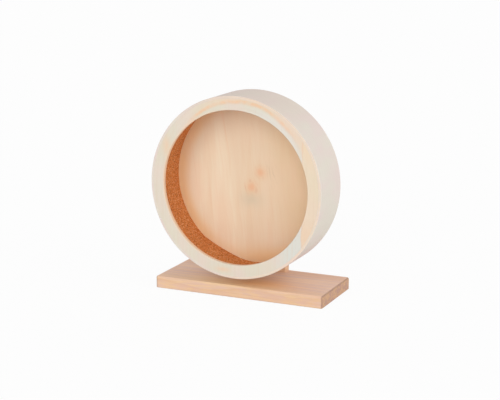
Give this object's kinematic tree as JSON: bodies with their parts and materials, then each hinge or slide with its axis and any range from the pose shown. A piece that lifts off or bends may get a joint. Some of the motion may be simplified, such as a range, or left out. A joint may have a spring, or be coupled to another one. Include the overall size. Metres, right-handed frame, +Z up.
{
  "type": "rodent exercise wheel",
  "caption": "Wooden rodent exercise wheel: an open-fronted, cork-lined plywood drum that spins on ball bearings, held from behind by a post on a flat base.",
  "frame": {"origin": "centre of the base plate's underside, on the surface that it stands on", "axes": "+Z up, +Y towards the back, away from the drum's open front, +X along the base's length"},
  "size_m": [0.22, 0.113, 0.246],
  "materials": {
    "pine": "fine-sanded, rounded arrises, long grain with darker end grain",
    "pale_plywood": "fine-sanded pale face veneer with a peach grain arch",
    "tan_plywood": "fine-sanded tan face veneer with upright grain and two pin knots",
    "hoop_plywood": "thin bent veneer, grain running round the drum",
    "hub_wood": "fine-sanded block",
    "cork": "granulated cork sheet, matt",
    "bearing_steel": "ground and polished",
    "cage_steel": "pressed strip",
    "shield_steel": "pressed, satin",
    "zinc": "zinc-plated",
    "nylon": "natural white"
  },
  "bodies": {
    "stand": {"base_plate": "pine", "upright_post": "pine", "post_screws": "zinc", "axle_bolt": "zinc", "thin_nut": "zinc", "front_washer": "zinc", "rear_washer": "zinc", "lock_nut": "zinc", "lock_nut_insert": "nylon", "front_bearing_inner_race": "bearing_steel", "rear_bearing_inner_race": "bearing_steel"},
    "wheel": {"front_ring": "pale_plywood", "back_disc": "tan_plywood", "drum_hoop": "hoop_plywood", "cork_lining": "cork", "hub_block": "hub_wood", "hub_screws": "zinc", "front_bearing_outer_race": "bearing_steel", "rear_bearing_outer_race": "bearing_steel", "front_bearing_shields": "shield_steel", "rear_bearing_shields": "shield_steel"},
    "front_ball_set": {"front_bearing_balls": "bearing_steel", "front_bearing_cage": "cage_steel"},
    "rear_ball_set": {"rear_bearing_balls": "bearing_steel", "rear_bearing_cage": "cage_steel"}
  },
  "joints": [
    {"name": "wheel_spin", "type": "hinge", "parent": "stand", "child": "wheel", "pos_m": [0, 0.0209, 0.136], "axis": [0, 1, 0], "continuous": true},
    {"name": "front_balls_roll", "type": "hinge", "parent": "stand", "child": "front_ball_set", "pos_m": [0, 0.0174, 0.136], "axis": [0, 1, 0], "continuous": true},
    {"name": "rear_balls_roll", "type": "hinge", "parent": "stand", "child": "rear_ball_set", "pos_m": [0, 0.0244, 0.136], "axis": [0, 1, 0], "continuous": true}
  ],
  "couplings": [
    {"joint": "front_balls_roll", "follows": "wheel_spin", "ratio": 0.6323},
    {"joint": "rear_balls_roll", "follows": "wheel_spin", "ratio": 0.6323}
  ]
}
